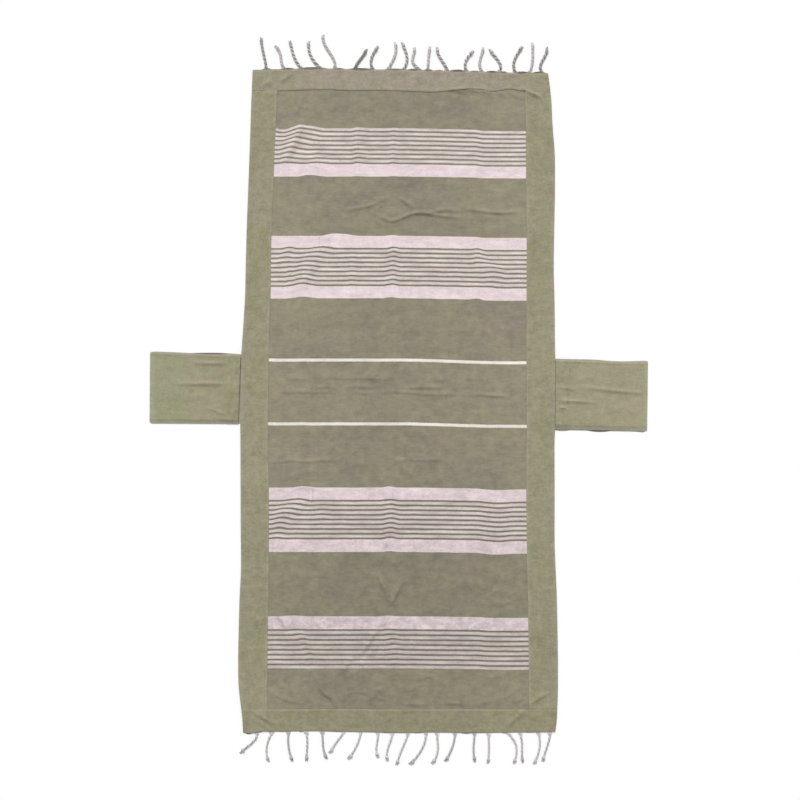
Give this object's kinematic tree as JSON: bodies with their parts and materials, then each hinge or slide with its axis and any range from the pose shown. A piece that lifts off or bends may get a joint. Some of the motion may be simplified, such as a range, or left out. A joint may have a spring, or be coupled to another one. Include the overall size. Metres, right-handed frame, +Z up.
{
  "type": "hammam towel with side pockets",
  "caption": "Flat striped hammam towel with plain sewn border strips, a knotted fringe at each end and a flat open pocket at each side.",
  "frame": {"origin": "on the floor under the middle of the towel's cloth", "axes": "+X across the towel towards the right-hand pocket, +Y along the towel towards its far end, +Z up"},
  "size_m": [1.5013, 2.2092, 0.0084],
  "materials": {
    "panel_cloth": "flat-woven cotton, olive grey with pale pink and cream stripes",
    "border_cloth": "plain-woven cotton, light olive",
    "fringe_yarn": "twisted cotton yarn, olive grey and off-white",
    "sewing_thread": "matt cotton thread"
  },
  "bodies": {
    "root": {"towel": "panel_cloth", "border_left": "border_cloth", "border_right": "border_cloth", "border_top": "border_cloth", "border_bottom": "border_cloth", "pocket_left": "border_cloth", "pocket_right": "border_cloth", "fringe_top": "fringe_yarn", "fringe_bottom": "fringe_yarn"}
  },
  "joints": []
}
